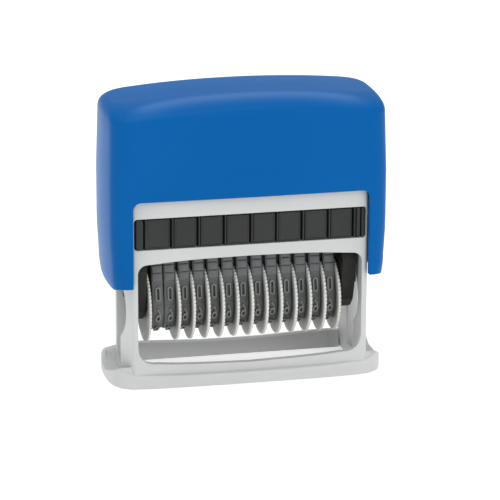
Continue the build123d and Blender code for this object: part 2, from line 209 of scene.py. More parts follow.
scale_sheen(M_BLUE, "sheen_reflection_mask", 0.14)
M_GREY = moulded("frame_grey", (0.530, 0.540, 0.534), (0.560, 0.570, 0.562), 0.42, bump=0.03, grain=1400.0,
                 cloud=45.0, rough_span=0.08)
M_BLUE_IN = moulded("blue_inside", (0.0022, 0.099, 0.335), (0.0030, 0.106, 0.357), 0.35, bump=0.0, grain=400.0,
                    cloud=25.0, rough_span=0.02, specular=0.03)
# painted shade for the faces inside the frame: darker towards +X, lighter again at the right wall
M_GREY_SHADED = moulded("frame_grey_painted_shade", (0.60, 0.61, 0.605), (0.63, 0.64, 0.632), 0.5, bump=0.03, grain=1400.0,
                    cloud=45.0, rough_span=0.08, specular=0.3,
                    fade=[(-27.0, 0.86), (-15.0, 0.83), (0.0, 0.77), (14.0, 0.65), (24.0, 0.62), (26.6, 0.95)])
# painted shade: the disc faces darken towards the hub, and the rim is the lightest
M_WHEEL = moulded("wheel_grey_painted_shade", (0.66, 0.67, 0.635), (0.72, 0.73, 0.695), 0.45, bump=0.04, grain=1600.0,
                  cloud=180.0, rough_span=0.1,
                  fade=[(4.8, 0.30), (6.8, 0.42), (8.2, 0.62), (8.75, 0.80), (9.0, 1.0), (9.13, 1.08)],
                  fade_by="radius")
M_BLACK = moulded("black_plastic", (0.013, 0.014, 0.012), (0.017, 0.018, 0.016), 0.5, bump=0.04, grain=1500.0,
                  cloud=90.0, rough_span=0.08, specular=0.22)
M_STRIP = moulded("cartridge_plastic", (0.021, 0.023, 0.022), (0.026, 0.028, 0.027), 0.5, bump=0.04, grain=1800.0,
                  cloud=120.0, rough_span=0.08, specular=0.3)
# painted shade: near-black for the groove floors of the cartridge strip
M_GROOVE_SHADE = moulded("cartridge_recess_painted_shade", (0.004, 0.004, 0.004), (0.006, 0.006, 0.006), 0.6, bump=0.04, grain=1800.0,
                 cloud=120.0, rough_span=0.08, specular=0.2)
M_SPACER = moulded("spacer_grey", (0.10, 0.104, 0.102), (0.13, 0.134, 0.132), 0.5, bump=0.04, grain=1500.0,
                   cloud=150.0, rough_span=0.08)
M_BAND = moulded("band_rubber", (0.098, 0.104, 0.102), (0.130, 0.136, 0.133), 0.55, bump=0.10, grain=1700.0,
                 cloud=350.0, rough_span=0.12)
M_BLOCK = moulded("block_rubber", (0.108, 0.113, 0.118), (0.140, 0.145, 0.150), 0.5, bump=0.12, grain=1500.0,
                  cloud=500.0, rough_span=0.12)
M_HOLLOW = moulded("hollow_rubber", (0.040, 0.043, 0.043), (0.060, 0.064, 0.064), 0.6, bump=0.08, grain=1700.0)
# painted highlight: the tops of the digits are a lighter copy of the band rubber
M_DIGIT = moulded("digit_rubber_painted_highlight", (0.165, 0.172, 0.170), (0.205, 0.212, 0.208), 0.45, bump=0.05, grain=1700.0,
                  cloud=500.0, rough_span=0.1)
M_PAD = moulded("ink_felt", (0.004, 0.004, 0.006), (0.012, 0.012, 0.016), 0.75, bump=0.5, grain=2500.0,
                cloud=700.0, rough_span=0.2, sheen=0.1)
M_STEEL = metal("ground_steel", (0.60, 0.60, 0.60), 0.30)
M_WIRE = metal("spring_wire", (0.50, 0.50, 0.51), 0.36)


# ------------------------------------------------------------------ mesh helpers
def mesh_object(name, verts, faces, mat, smooth=True, scale=MM):
    me = bpy.data.meshes.new(name)
    me.from_pydata([(x * scale, y * scale, z * scale) for x, y, z in verts], [], faces)
    me.validate()
    me.update()
    ob = bpy.data.objects.new(name, me)
    collection.objects.link(ob)
    me.materials.append(mat)
    if smooth:
        for p in me.polygons:
            p.use_smooth = True
    return ob


def clean(ob, dist=1e-6):
    bm = bmesh.new()
    bm.from_mesh(ob.data)
    bmesh.ops.remove_doubles(bm, verts=bm.verts, dist=dist)
    bmesh.ops.dissolve_degenerate(bm, edges=bm.edges, dist=dist)
    bmesh.ops.recalc_face_normals(bm, faces=bm.faces)
    bm.to_mesh(ob.data)
    bm.free()
    return ob


def apply_modifiers(ob):
    bpy.context.view_layer.update()
    dg = bpy.context.evaluated_depsgraph_get()
    me = bpy.data.meshes.new_from_object(ob.evaluated_get(dg), preserve_all_data_layers=False, depsgraph=dg)
    ob.modifiers.clear()
    old = ob.data
    ob.data = me
    bpy.data.meshes.remove(old)
    return ob


def sharp_by_angle(ob, degrees=32.0):
    """Smooth shading with edges steeper than the angle left sharp."""
    me = ob.data
    bm = bmesh.new()
    bm.from_mesh(me)
    for f in bm.faces:
        f.smooth = True
    for e in bm.edges:
        if len(e.link_faces) == 2:
            e.smooth = e.calc_face_angle(0.0) < math.radians(degrees)
    bm.to_mesh(me)
    bm.free()
    return ob


def bevel(ob, width, segments=2, angle=35.0):
    mod = ob.modifiers.new("edge", "BEVEL")
    mod.width = width * MM
    mod.segments = segments
    mod.limit_method = "ANGLE"
    mod.angle_limit = math.radians(angle)
    mod.harden_normals = False
    mod.miter_outer = "MITER_ARC"
    return ob


def prism(name, pts, axis, lo, hi, mat):
    """Closed prism from an outline. axis 'y': pts are (x, z); axis 'x': pts are (y, z); axis 'z': pts are (x, y)."""
    n = len(pts)
    verts = []
    for h in (lo, hi):
        for a, b in pts:
            verts.append({"y": (a, h, b), "x": (h, a, b), "z": (a, b, h)}[axis])
    faces = [tuple(range(n)), tuple(range(2 * n - 1, n - 1, -1))]
    for k in range(n):
        j = (k + 1) % n
        faces.append((k, k + n, j + n, j))
    return clean(mesh_object(name, verts, faces, mat, smooth=False))


def boolean(ob, cutters, operation="DIFFERENCE"):
    for c in cutters:
        mod = ob.modifiers.new("cut", "BOOLEAN")
        mod.operation = operation
        mod.solver = "EXACT"
        mod.object = c
    apply_modifiers(ob)
    for c in cutters:
        bpy.data.objects.remove(c, do_unlink=True)
    return ob


def rounded_rect(hx, hy, r, seg=6, cx=0.0, cy=0.0):
    pts = []
    for sx, sy, a0 in ((1, 1, 0), (-1, 1, 90), (-1, -1, 180), (1, -1, 270)):
        for k in range(seg + 1):
            a = math.radians(a0 + 90 * k / seg)
            pts.append((cx + sx * (hx - r) + r * math.cos(a), cy + sy * (hy - r) + r * math.sin(a)))
    return pts


def smooth01(t):
    t = max(0.0, min(1.0, t))
    return t * t * (3 - 2 * t)


def interp(table, x):
    """Smooth value through a table of (x, y) points, monotone cubic."""
    if x <= table[0][0]:
        return table[0][1]
    if x >= table[-1][0]:
        return table[-1][1]
    n = len(table)
    d = [(table[k + 1][1] - table[k][1]) / (table[k + 1][0] - table[k][0]) for k in range(n - 1)]
    m = [d[0]] + [0.0 if d[k - 1] * d[k] <= 0 else 2 * d[k - 1] * d[k] / (d[k - 1] + d[k]) for k in range(1, n - 1)] + [d[-1]]
    for k in range(n - 1):
        x0, y0 = table[k]
        x1, y1 = table[k + 1]
        if x <= x1:
            h = x1 - x0
            t = (x - x0) / h
            return ((2 * t**3 - 3 * t**2 + 1) * y0 + (t**3 - 2 * t**2 + t) * h * m[k]
                    + (-2 * t**3 + 3 * t**2) * y1 + (t**3 - t**2) * h * m[k + 1])


# ------------------------------------------------------------------ camera
yaw, pitch, roll = math.radians(12.369), math.radians(17.459), math.radians(0.2327)
fw = Vector((math.sin(yaw) * math.cos(pitch), math.cos(yaw) * math.cos(pitch), -math.sin(pitch)))
rt = Vector((math.cos(yaw), -math.sin(yaw), 0))
up = rt.cross(fw)
RT = math.cos(roll) * rt + math.sin(roll) * up
UP = -math.sin(roll) * rt + math.cos(roll) * up
cam_data = bpy.data.cameras.new("camera")
cam_data.sensor_fit = "HORIZONTAL"
cam_data.sensor_width = 36.0
cam_data.lens = 230.4
cam_data.clip_start = 0.05
cam_data.clip_end = 20.0
cam = bpy.data.objects.new("camera", cam_data)
collection.objects.link(cam)
rot = Matrix((RT, UP, -fw)).transposed().to_4x4()
cam.matrix_world = Matrix.Translation(Vector((-0.152442, -0.705689, 0.256086))) @ rot
scene.camera = cam

# ------------------------------------------------------------------ handle cap
CAP_B, CAP_T, CAP_HX, CAP_HY, CAP_RC = 25.25, 68.69, 32.25, 13.24, 4.0
TOP_RX, TOP_RF, TOP_RR, TOP_RZ = 2.0, 10.5, 3.55, 2.79     # rounding of the top: sides, front, rear, height
CUT_X, CUT_Z, CUT_R = 28.1, 46.0, 1.9


def arch(x):
    return CAP_T - 1.42 * (min(abs(x), 33.5) / 28.0) ** 2.126


def build_cap():
    arc_n = 5
    arc = [(CUT_X - CUT_R + CUT_R * math.cos(math.radians(90 * k / arc_n)),
            CUT_Z - CUT_R + CUT_R * math.sin(math.radians(90 * k / arc_n))) for k in range(arc_n + 1)]
    # arc[0] is the side point, arc[-1] the top point
    xs = [a[0] for a in reversed(arc)]
    flat = [-xs[0] + 2 * xs[0] * k / 24 for k in range(25)]
    cols = [-x for x in reversed(xs[1:])] + flat + xs[1:]
    # columns stay on the flat front; the corner starts at CAP_HX - CAP_RC
    edge = CAP_HX - CAP_RC
    cols = [-edge] + cols + [edge]
    zs = [CAP_B, 25.7, 27.5, 30, 33, 36, 39, 42] + [a[1] for a in arc] + [47.5, 50.0]
    corner_n = 8
    side_n = 10

    def ring(dx, df, dr, rc):
        """Outline inset by dx at the sides, df in front and dr behind, counter-clockwise from front left."""
        hx, hf, hr = CAP_HX - dx, CAP_HY - df, CAP_HY - dr
        r = max(0.25, min(rc, hf * 0.9, hr * 0.9))
        e = hx - r
        pts = []
        for c in cols:
            pts.append((c * e / edge, -hf))
        for k in range(1, corner_n):
            a = -math.pi / 2 + math.pi / 2 * k / corner_n
            pts.append((hx - r + r * math.cos(a), -hf + r + r * math.sin(a)))
        for k in range(side_n + 1):
            pts.append((hx, -(hf - r) + (hf + hr - 2 * r) * k / side_n))
        for k in range(1, corner_n):
            a = math.pi / 2 * k / corner_n
            pts.append((hx - r + r * math.cos(a), hr - r + r * math.sin(a)))
        for c in reversed(cols):
            pts.append((c * e / edge, hr))
        for k in range(1, corner_n):
            a = math.pi / 2 + math.pi / 2 * k / corner_n
            pts.append((-hx + r + r * math.cos(a), hr - r + r * math.sin(a)))
        for k in range(side_n + 1):
            pts.append((-hx, (hr - r) - (hf + hr - 2 * r) * k / side_n))
        for k in range(1, corner_n):
            a = math.pi + math.pi / 2 * k / corner_n
            pts.append((-hx + r + r * math.cos(a), -hf + r + r * math.sin(a)))
        return pts

    def warp(x, y, z):
        bulge = 1 - min(1.0, (y / CAP_HY) ** 2)
        side = max(0.0, min(1.0, (abs(x) - 20.0) / 12.6)) ** 1.5
        x2 = x + math.copysign(1.21 * bulge * side, x)
        y2 = y + math.copysign(0.46 * (1 - min(1.0, (x / CAP_HX) ** 2)) * min(1.0, abs(y) / CAP_HY) ** 2, y)
        low = 0.5 * smooth01((38.0 - z) / 12.0) + 0.45 * max(0.0, (27.6 - z) / 2.4) ** 2
        high = max(0.0, min(1.0, (z - 50.0) / 18.0))
        tail = max(0.0, min(1.0, (abs(x) - CUT_X) / 4.0))
        x2 -= math.copysign((0.95 * low * tail), x)
        x2 -= math.copysign(0.58 * high * side, x)
        # the side ends reach a little lower than the front
        lip = smooth01((30.0 - z) / 4.75) * max(0.0, min(1.0, (abs(x) - CUT_X) / 3.0))
        z -= 1.25 * lip * (1 - 0.8 * smooth01((abs(y) - 8.0) / 5.0))
        return x2, y2, z

    rings = []
    base_ring = ring(0.0, 0.0, 0.0, CAP_RC)
    for z in zs:
        rings.append([warp(x, y, z) for x, y in base_ring])
    for t in (0.2, 0.4, 0.6, 0.8):
        rings.append([warp(x, y, 50.0 + t * (arch(x) - TOP_RZ - 50.0))
                      for x, y in ring(0.0, 0.0, 0.0, CAP_RC + 0.82 * t)])
    for k in range(0, 19):
        a = math.pi / 2 * k / 18
        c = 1 - math.cos(a)
        rings.append([warp(x, y, arch(x) - TOP_RZ + TOP_RZ * math.sin(a))
                      for x, y in ring(TOP_RX * c, TOP_RF * c, TOP_RR * c, 4.82)])
    hf, hr = CAP_HY - TOP_RF, CAP_HY - TOP_RR
    for t in (0.15, 0.35, 0.55, 0.75, 0.9):
        rings.append([warp(x, y, arch(x)) for x, y in ring(TOP_RX + 2.2 * t, TOP_RF + hf * t, TOP_RR + hr * t, 4.82)])
    n = len(base_ring)
    verts = [p for r in rings for p in r]
    faces = []
    ncol = len(cols)
    arc_row0 = zs.index(arc[0][1])
    arc_row1 = arc_row0 + arc_n
    left0 = 1                     # column index where x = -CUT_X
    right1 = ncol - 2             # column index where x = +CUT_X

    def in_cut(col, row):
        """Cell between col, col + 1 and row, row + 1 on the front: 'out', 'in', or 'diag'."""
        if row >= arc_row1 or col < left0 or col >= right1:
            return "out"
        if row < arc_row0:
            return "in"
        j = row - arc_row0
        dl, dr = col - left0, right1 - 1 - col
        m = min(dl, dr)
        if m >= arc_n:
            return "in"
        if j + 0 < m:
            return "in"
        if j == m:
            return "diagl" if dl < dr else "diagr"
        return "out"

    rear0 = ncol + (corner_n - 1) + (side_n + 1) + (corner_n - 1)
    for r in range(len(rings) - 1):
        for c in range(n):
            c2 = (c + 1) % n
            a, b, cc, d = r * n + c, r * n + c2, (r + 1) * n + c2, (r + 1) * n + c
            state = "out"
            if c < ncol - 1:
                state = in_cut(c, r)
            elif rear0 <= c < rear0 + ncol - 1:
                col = ncol - 2 - (c - rear0)
                state = in_cut(col, r)
                if state == "diagl":
                    state = "diagr"
                elif state == "diagr":
                    state = "diagl"
            if state == "out":
                faces.append((a, b, cc, d))
            elif state == "diagl":
                faces.append((a, cc, d))
            elif state == "diagr":
                faces.append((b, cc, d))
    last = (len(rings) - 1) * n
    top = rings[-1]
    # close the top between the front and rear rows
    for c in range(ncol - 1):
        f1, f2 = last + c, last + c + 1
        r1, r2 = last + rear0 + ncol - 1 - c, last + rear0 + ncol - 2 - c
        faces.append((f1, f2, r2, r1))
    right_strip = [last + k for k in range(ncol - 1, rear0 + 1)]
    left_strip = [last + k for k in range(rear0 + ncol - 1, n)] + [last]
    for strip in (right_strip, left_strip):
        while len(strip) > 3:
            if len(strip) == 4:
                break
            faces.append((strip[0], strip[1], strip[-2], strip[-1]))
            strip = strip[1:-1]
        if len(strip) >= 3:
            faces.append(tuple(strip))
    ob = mesh_object("cap_shell", verts, faces, M_BLUE)
    clean(ob, 2e-6)
    sol = ob.modifiers.new("wall", "SOLIDIFY")
    sol.thickness = 1.6 * MM
    sol.offset = -1.0
    sol.use_even_offset = False
    sol.use_quality_normals = True
    apply_modifiers(ob)
    bevel(ob, 0.28, 3, 50.0)
    apply_modifiers(ob)
    sharp_by_angle(ob, 40.0)
    # painted highlight: a soft lighter band that follows the rounded front edge of the top
    points = [tuple(c / MM for c in v.co) for v in ob.data.vertices]
    highlight_weight, soft = [], []
    for x, y, z in points:
        u = min(1.0, abs(x) / 29.0)
        centre = -6.0 - 4.2 * u ** 3
        fade = 1 - smooth01((abs(x) - 22.0) / 8.0)
        upper, lower = (y - centre) / 1.7, (centre - y) / 3.0
        w = math.exp(-(upper if y > centre else lower) ** 2)
        highlight_weight.append(w * fade * smooth01((z - arch(x) + 2.6) / 1.6))
        # painted reflection: sheen weight full on the sides, only towards the rear on the top
        top = smooth01((z - 60.0) / 4.0)
        on_top = (0.15 + 1.35 * smooth01((y - 1.0) / 9.0)) * (1 - 0.9 * smooth01((abs(x) - 24.0) / 6.0))
        soft.append((1 - top) + top * on_top)
    for name, values in (("painted_edge_highlight", highlight_weight), ("sheen_reflection_mask", soft)):
        att = ob.data.attributes.new(name, "FLOAT", "POINT")
        for d, value in zip(att.data, values):
            d.value = value
    return ob


cap = build_cap()
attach(cap, "handle")
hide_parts("handle_cap")

# ------------------------------------------------------------------ frame shell
SILL = [(0.0, 4.97), (14.0, 5.38), (21.6, 5.9), (24.2, 6.45), (25.6, 7.15), (26.4, 8.1), (26.75, 9.6)]
HEAD = [(26.75, 27.6), (26.45, 28.9), (25.7, 29.85), (24.3, 30.4), (17.0, 30.86), (12.7, 31.05), (0.0, 31.25)]


def window_outline():
    right = []
    for k in range(0, 15):
        x = 21.6 * k / 14
        right.append((x, interp(SILL, x)))
    for k in range(1, 11):
        a = math.radians(90 * k / 10)
        # corner as a superellipse from (21.6, 5.9) to (26.75, 10.2)
        right.append((21.6 + 5.15 * math.sin(a) ** 0.9, 5.9 + 4.3 * (1 - math.cos(a)) ** 1.25))
    right.append((26.75, 14.0))
    right.append((26.75, 20.0))
    right.append((26.75, 26.6))
    for k in range(0, 9):
        a = math.radians(90 * k / 8)
        right.append((24.35 + 2.4 * math.cos(a) ** 0.9, 28.0 + 2.38 * math.sin(a)))
    for k in range(1, 13):
        x = 24.35 * (1 - k / 12)
        right.append((x, interp([(0.0, 31.25), (12.7, 31.08), (17.0, 30.88), (24.35, 30.38)], x)))
    return right + [(-x, z) for x, z in reversed(right[1:-1])]


LENS = [(-2.5, 24.2), (-4.5, 23.0), (-6.2, 21.6), (-7.1, 19.2), (-7.2, 17.4), (-6.7, 14.8), (-5.2, 12.6),
        (-4.0, 11.5), (-2.5, 10.5)]


def slot_outline():
    """Vertical guide slot with the forward cam bulge, in Y and Z."""
    pts = []
    hw = 2.5
    for k in range(7):
        a = math.radians(-90 + 90 * k / 6)
        pts.append((hw - 0.5 + 0.5 * math.cos(a), 3.75 + 0.5 * math.sin(a)))
    for k in range(7):
        a = math.radians(90 * k / 6)
        pts.append((hw - 1.2 + 1.2 * math.cos(a), 27.05 + 1.2 * math.sin(a)))
    for k in range(7):
        a = math.radians(90 + 90 * k / 6)
        pts.append((-hw + 1.2 + 1.2 * math.cos(a), 27.05 + 1.2 * math.sin(a)))
    # smooth cam bulge
    table = [(-z, y) for y, z in LENS]
    for k in range(0, 31):
        z = LENS[0][1] - (LENS[0][1] - LENS[-1][1]) * k / 30
        pts.append((interp(table, -z), z))
    for k in range(7):
        a = math.radians(180 + 90 * k / 6)
        pts.append((-hw + 0.5 + 0.5 * math.cos(a), 3.75 + 0.5 * math.sin(a)))
    return pts


def bowed_plan(hx, hy, r, bow, reach, seg=6, n=16):
    """Plan outline with rounded corners whose side walls bow outwards between plus and minus reach."""
    pts = []
    for sx, sy, a0 in ((1, 1, 0), (-1, 1, 90), (-1, -1, 180), (1, -1, 270)):
        for k in range(seg + 1):
            a = math.radians(a0 + 90 * k / seg)
            pts.append((sx * (hx - r) + r * math.cos(a), sy * (hy - r) + r * math.sin(a)))
        if sx * sy > 0:
            continue
        # the side that follows this corner: left side downwards, right side upwards
        for k in range(1, n):
            y = (reach - 2 * reach * k / n) * (1 if sx < 0 else -1)
            pts.append((sx * (hx + bow * (1 - (y / reach) ** 2)), y))
    return pts


def rim_top(x):
    """Height of the flange behind the rear window."""
    return interp([(0.0, 3.1), (6.0, 3.13), (12.5, 3.4), (19.5, 3.77), (24.5, 3.95), (28.3, 3.6)], abs(x))


def rear_window_outline():
    """Rear window: the same head as in front, open down to the flange."""
    right = [(26.75 * k / 20, rim_top(26.75 * k / 20) - 0.03) for k in range(21)]
    right += [(26.75, 10.0), (26.75, 14.0), (26.75, 20.0), (26.75, 26.6)]
    for k in range(0, 9):
        a = math.radians(90 * k / 8)
        right.append((24.35 + 2.4 * math.cos(a) ** 0.9, 28.0 + 2.38 * math.sin(a)))
    for k in range(1, 13):
        x = 24.35 * (1 - k / 12)
        right.append((x, interp([(0.0, 31.25), (12.7, 31.08), (17.0, 30.88), (24.35, 30.38)], x)))
    return right + [(-x, z) for x, z in reversed(right[1:-1])]


def build_frame():
    outer = prism("frame_shell", bowed_plan(FRAME_HW, FRAME_HD, 1.1, 1.2, 10.4), "z", 0.02, 46.0, M_GREY)
    inner = prism("c0", bowed_plan(IN_X, IN_Y, 0.5, 0.2, 9.5, 3, 8), "z", -1.0, 50.0, M_GREY)
    cutters = [inner,
               prism("c1", window_outline(), "y", -14.0, -7.0, M_GREY),
               prism("c2", rear_window_outline(), "y", 7.0, 14.0, M_GREY),
               prism("c3", slot_outline(), "x", -32.0, -24.0, M_GREY),
               prism("c4", slot_outline(), "x", 24.0, 32.0, M_GREY),
               prism("c5", rounded_rect(27.6, 3.8, 0.75, 4, 0.0, 37.72), "y", -14.0, -9.0, M_GREY),
               prism("c6", rounded_rect(10.0, 2.7, 1.2, 5, 0.0, 37.5), "y", 8.0, 14.0, M_GREY)]
    ob = boolean(outer, cutters)
    clean(ob, 2e-6)
    bevel(ob, 0.28, 3, 40.0)
    apply_modifiers(ob)
    sharp_by_angle(ob, 40.0)
    paint_inside_shade(ob)
    return ob


def paint_inside_shade(ob):
    """Faces that look into the frame take the grey with painted shade."""
    me = ob.data
    me.materials.append(M_GREY_SHADED)
    slot = len(me.materials) - 1
    for p in me.polygons:
        x, y, z = (c / MM for c in p.center)
        nx, ny, nz = p.normal
        if abs(x) < IN_X + 0.3 and abs(y) < IN_Y + 0.1 and (nx * x < -0.5 * abs(x) or ny * y < -0.5 * abs(y)):
            p.material_index = slot
        # top of the rear sill between the posts takes the painted shade too
        if abs(x) < 26.7 and IN_Y - 0.1 < y < FRAME_HD - 0.1 and 2.6 < z < 4.3 and nz > 0.4:
            p.material_index = slot


shell = build_frame()
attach(shell, "frame")
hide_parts("frame_front", "frame_rear", "frame_left_side", "frame_right_side")


def build_rails():
    verts, faces = [], []
    obs = []
    for sx in (-1, 1):
        pts = rounded_rect(0.9, 0.4, 0.15, 3, sx * (IN_X - 0.6), 33.4)
        obs.append(prism("rail_left" if sx < 0 else "rail_right", pts, "y", -9.95, 9.95, M_GREY))
    return obs


for r in build_rails():
    sharp_by_angle(r, 30.0)
    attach(r, "frame")


# half of the flange's outline from the middle of the front (or rear) to the middle of the side:
# x, |y|, height of the outer edge, height one millimetre further in
RIM_FRONT = [(0.0, 12.6, 2.95, 3.0), (10.0, 12.55, 3.0, 3.05), (18.0, 12.4, 3.15, 3.2), (24.5, 12.05, 3.4, 3.45),
             (27.2, 11.7, 3.5, 4.0), (28.3, 11.5, 3.75, 5.35), (29.8, 10.8, 4.3, 5.1), (31.2, 9.5, 4.7, 4.75),
             (32.1, 7.8, 3.95, 4.0), (32.6, 6.0, 3.3, 3.35), (32.9, 4.0, 2.75, 2.8), (33.0, 2.4, 2.2, 2.2),
             (33.05, 0.9, 1.9, 1.9), (33.05, 0.0, 1.9, 1.9)]
RIM_REAR = [(0.0, 12.6, 3.1, 3.1), (6.0, 12.58, 3.13, 3.13), (12.5, 12.5, 3.4, 3.4), (19.5, 12.35, 3.77, 3.77),
            (24.5, 12.05, 3.95, 3.95), (27.2, 11.7, 3.8, 3.8), (28.3, 11.5, 3.6, 3.6), (29.8, 10.8, 3.5, 3.5),
            (31.2, 9.5, 3.7, 3.7),
            (32.1, 7.8, 3.9, 3.9), (32.5, 6.6, 3.85, 3.85), (32.75, 5.4, 3.0, 3.0), (32.9, 4.4, 2.0, 2.0),
            (33.0, 3.0, 1.9, 1.9), (33.05, 0.0, 1.9, 1.9)]
# height of the floor between the side wall and the rim, from front to rear
POCKET = [(-13.0, 0.8), (-4.9, 0.8), (-4.2, 2.1), (0.0, 2.2), (5.0, 2.6), (7.0, 3.6), (9.0, 4.2), (13.0, 4.2)]


def rim_quarter(table, step):
    """Dense (x, |y|, zo, zi) stations along one quarter of the outline."""
    s = [0.0]
    for a, b in zip(table, table[1:]):
        s.append(s[-1] + math.hypot(b[0] - a[0], b[1] - a[1]))
    cols = [[(u, row[c]) for u, row in zip(s, table)] for c in range(4)]
    n = int(s[-1] / step)
    return [tuple(interp(col, s[-1] * k / n) for col in cols) for k in range(n + 1)]


def build_base():
    """Base flange: a thin rim that climbs to the post feet, with open pockets beside the side walls."""
    front, rear = rim_quarter(RIM_FRONT, 0.4), rim_quarter(RIM_REAR, 0.4)
    # counter-clockwise from the middle of the front: right front, right rear, left rear, left front
    loop = [(x, -y, zo, zi) for x, y, zo, zi in front]
    loop += [(x, y, zo, zi) for x, y, zo, zi in reversed(rear[:-1])]
    loop += [(-x, y, zo, zi) for x, y, zo, zi in rear[1:]]
    loop += [(-x, -y, zo, zi) for x, y, zo, zi in reversed(front[1:-1])]
    n = len(loop)
    stations = []
    for k in range(n):
        x, y, zo, zi = loop[k]
        xa, ya = loop[(k - 2) % n][:2]
        xb, yb = loop[(k + 2) % n][:2]
        tx, ty = xb - xa, yb - ya
        length = math.hypot(tx, ty)
        stations.append((x, y, zo, zi, -ty / length, tx / length))
    floor_e = 1.16

    def section(x, y, zo, zi, nx, ny):
        def at(e, z):
            return (x + nx * e, y + ny * e, z)

        low = zi + (min(zi, interp(POCKET, y)) - zi) * smooth01((abs(x) - 27.6) / 0.8)
        ix = max(-IN_X - 0.6, min(IN_X + 0.6, x))
        iy = max(-IN_Y - 0.6, min(IN_Y + 0.6, y))
        if abs(ix) < IN_X + 0.6:
            iy = math.copysign(IN_Y + 0.6, y)
        drop = zi - low
        behind = y > 0 and abs(x) < IN_X
        fx, fy, _z = at(floor_e + 0.12, low)
        return [at(0.3, 0.0), at(0.08, 0.08), at(0.0, 0.3), at(0.0, (zo - 0.5) * 0.5), at(0.0, zo - 0.5),
                at(0.04, zo - 0.3), at(0.14, zo - 0.13), at(0.28, zo - 0.03), at(0.45, zo),
                at(0.72, (zo + zi) / 2), at(0.94, zi), at(1.04, zi - 0.03 * min(1.0, drop)),
                at(1.12, zi - 0.12 * min(1.0, drop)), at(floor_e, zi - 0.35 * min(1.0, drop)),
                at(floor_e, low + 0.15 * min(1.0, drop)), (fx, fy, low),
                (fx + (ix - fx) * 0.5, fy + (iy - fy) * 0.5, low), (ix, iy, low),
                (ix, iy if not behind else IN_Y - 0.02, low - 0.01), (ix, iy if not behind else IN_Y - 1.3, 0.0)]

    rows = [section(*st) for st in stations]
    m = len(rows[0])
    verts = [p for row in rows for p in row]
    faces = []
    for k in range(n):
        k2 = (k + 1) % n
        for j in range(m):
            j2 = (j + 1) % m
            faces.append((k * m + j, k2 * m + j, k2 * m + j2, k * m + j2))
    ob = mesh_object("base_skirt", verts, faces, M_GREY)
    clean(ob, 3e-6)
    sharp_by_angle(ob, 42.0)
    paint_inside_shade(ob)
    return ob


base = build_base()
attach(base, "frame")
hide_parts("base_flange", "corner_ramps")

# ------------------------------------------------------------------ cartridge front strip
CART_Z0, CART_Z1 = 33.97, 41.45
PANELS = [(-24.71, -19.13), (-18.16, -12.84), (-11.87, -6.64), (-5.67, -0.33),
          (0.60, 5.82), (6.65, 11.87), (12.94, 18.17), (19.14, 24.20)]


def raised_plate(verts, faces, x0, x1, z0, z1, y_back, y_front, r=0.25, step=0.0):
    """Raised block with eased edges; with a step, a line runs round its face just inside the edge."""
    hx, hz = (x1 - x0) / 2, (z1 - z0) / 2
    cx, cz = (x0 + x1) / 2, (z0 + z1) / 2
    pts = rounded_rect(hx, hz, min(r, hx * 0.8), 3, cx, cz)
    n = len(pts)
    start = len(verts)
    b = min(0.12, hx / 2.5)

    def inset(d):
        return [(cx + (x - cx) * (1 - d / hx), cz + (z - cz) * (1 - d / hz)) for x, z in pts]

    levels = [(0.0, y_back), (0.0, y_front + b), (b * 0.3, y_front + b * 0.3), (b, y_front)]
    if step:
        levels += [(b + 0.16, y_front), (b + 0.20, y_front + step), (b + 0.36, y_front + step),
                   (b + 0.44, y_front + 0.03), (b + 0.7, y_front + 0.02)]
    else:
        levels.append((min(b + 0.25, hx * 0.9), y_front))
    for d, y in levels:
        for x, z in inset(min(d, hx * 0.9)):
            verts.append((x, y, z))
    for k in range(len(levels) - 1):
        for j in range(n):
            j2 = (j + 1) % n
            faces.append((start + k * n + j, start + k * n + j2, start + (k + 1) * n + j2, start + (k + 1) * n + j))
    faces.append(tuple(start + (len(levels) - 1) * n + j for j in range(n)))


def build_strip():
    verts, faces = [], []
    # recessed back plate, seen as the dark grooves between the panels; its near-black material is painted shade
    raised_plate(verts, faces, -27.42, 27.42, CART_Z0, CART_Z1, -9.6, -10.15, 0.7)
    recess = len(faces)
    yb = -10.0
    z0, z1 = CART_Z0 + 0.08, CART_Z1 - 0.08
    for x0, x1 in PANELS:
        raised_plate(verts, faces, x0 + 0.04, x1 - 0.04, z0 + 0.12, z1 - 0.22, yb, -11.30, 0.3, 0.09)
    ribs = [(a[1] + b[0]) / 2 for a, b in zip(PANELS, PANELS[1:])]
    for x in ribs + [-24.97, 24.72]:
        raised_plate(verts, faces, x - 0.02, x + 0.36, z0, z1, yb, -11.42, 0.16)
    raised_plate(verts, faces, -27.1, -25.42, z0 + 0.05, z1 - 0.05, yb, -11.28, 0.6)
    raised_plate(verts, faces, 25.34, 26.24, z0 + 0.05, z1 - 0.05, yb, -11.30, 0.3)
    raised_plate(verts, faces, 26.56, 27.3, z0 + 0.05, z1 - 0.05, yb, -11.20, 0.35)
    ob = mesh_object("cartridge_strip", verts, faces, M_STRIP)
    ob.data.materials.append(M_GROOVE_SHADE)
    for p in ob.data.polygons[:recess]:
        p.material_index = 1
    clean(ob, 1e-7)
    sharp_by_angle(ob, 50.0)
    return ob


def build_tray():
    """Tray behind the strip: a rounded box with the pad bay beneath."""
    body = prism("cartridge_tray", rounded_rect(26.6, 9.78, 0.8, 4, 0.0, -0.2), "z", 33.97, 41.25, M_BLACK)
    bay = prism("c", rounded_rect(24.5, 6.5, 0.3, 2, 0.0, 0.5), "z", 33.0, 37.5, M_BLACK)
    ob = boolean(body, [bay])
    clean(ob, 2e-6)
    bevel(ob, 0.25, 2, 40.0)
    apply_modifiers(ob)
    sharp_by_angle(ob, 40.0)
    return ob


strip = build_strip()
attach(strip, "frame")
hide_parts("ink_tray")
tray = build_tray()
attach(tray, "frame")

# ------------------------------------------------------------------ knurled discs
TEETH = 58


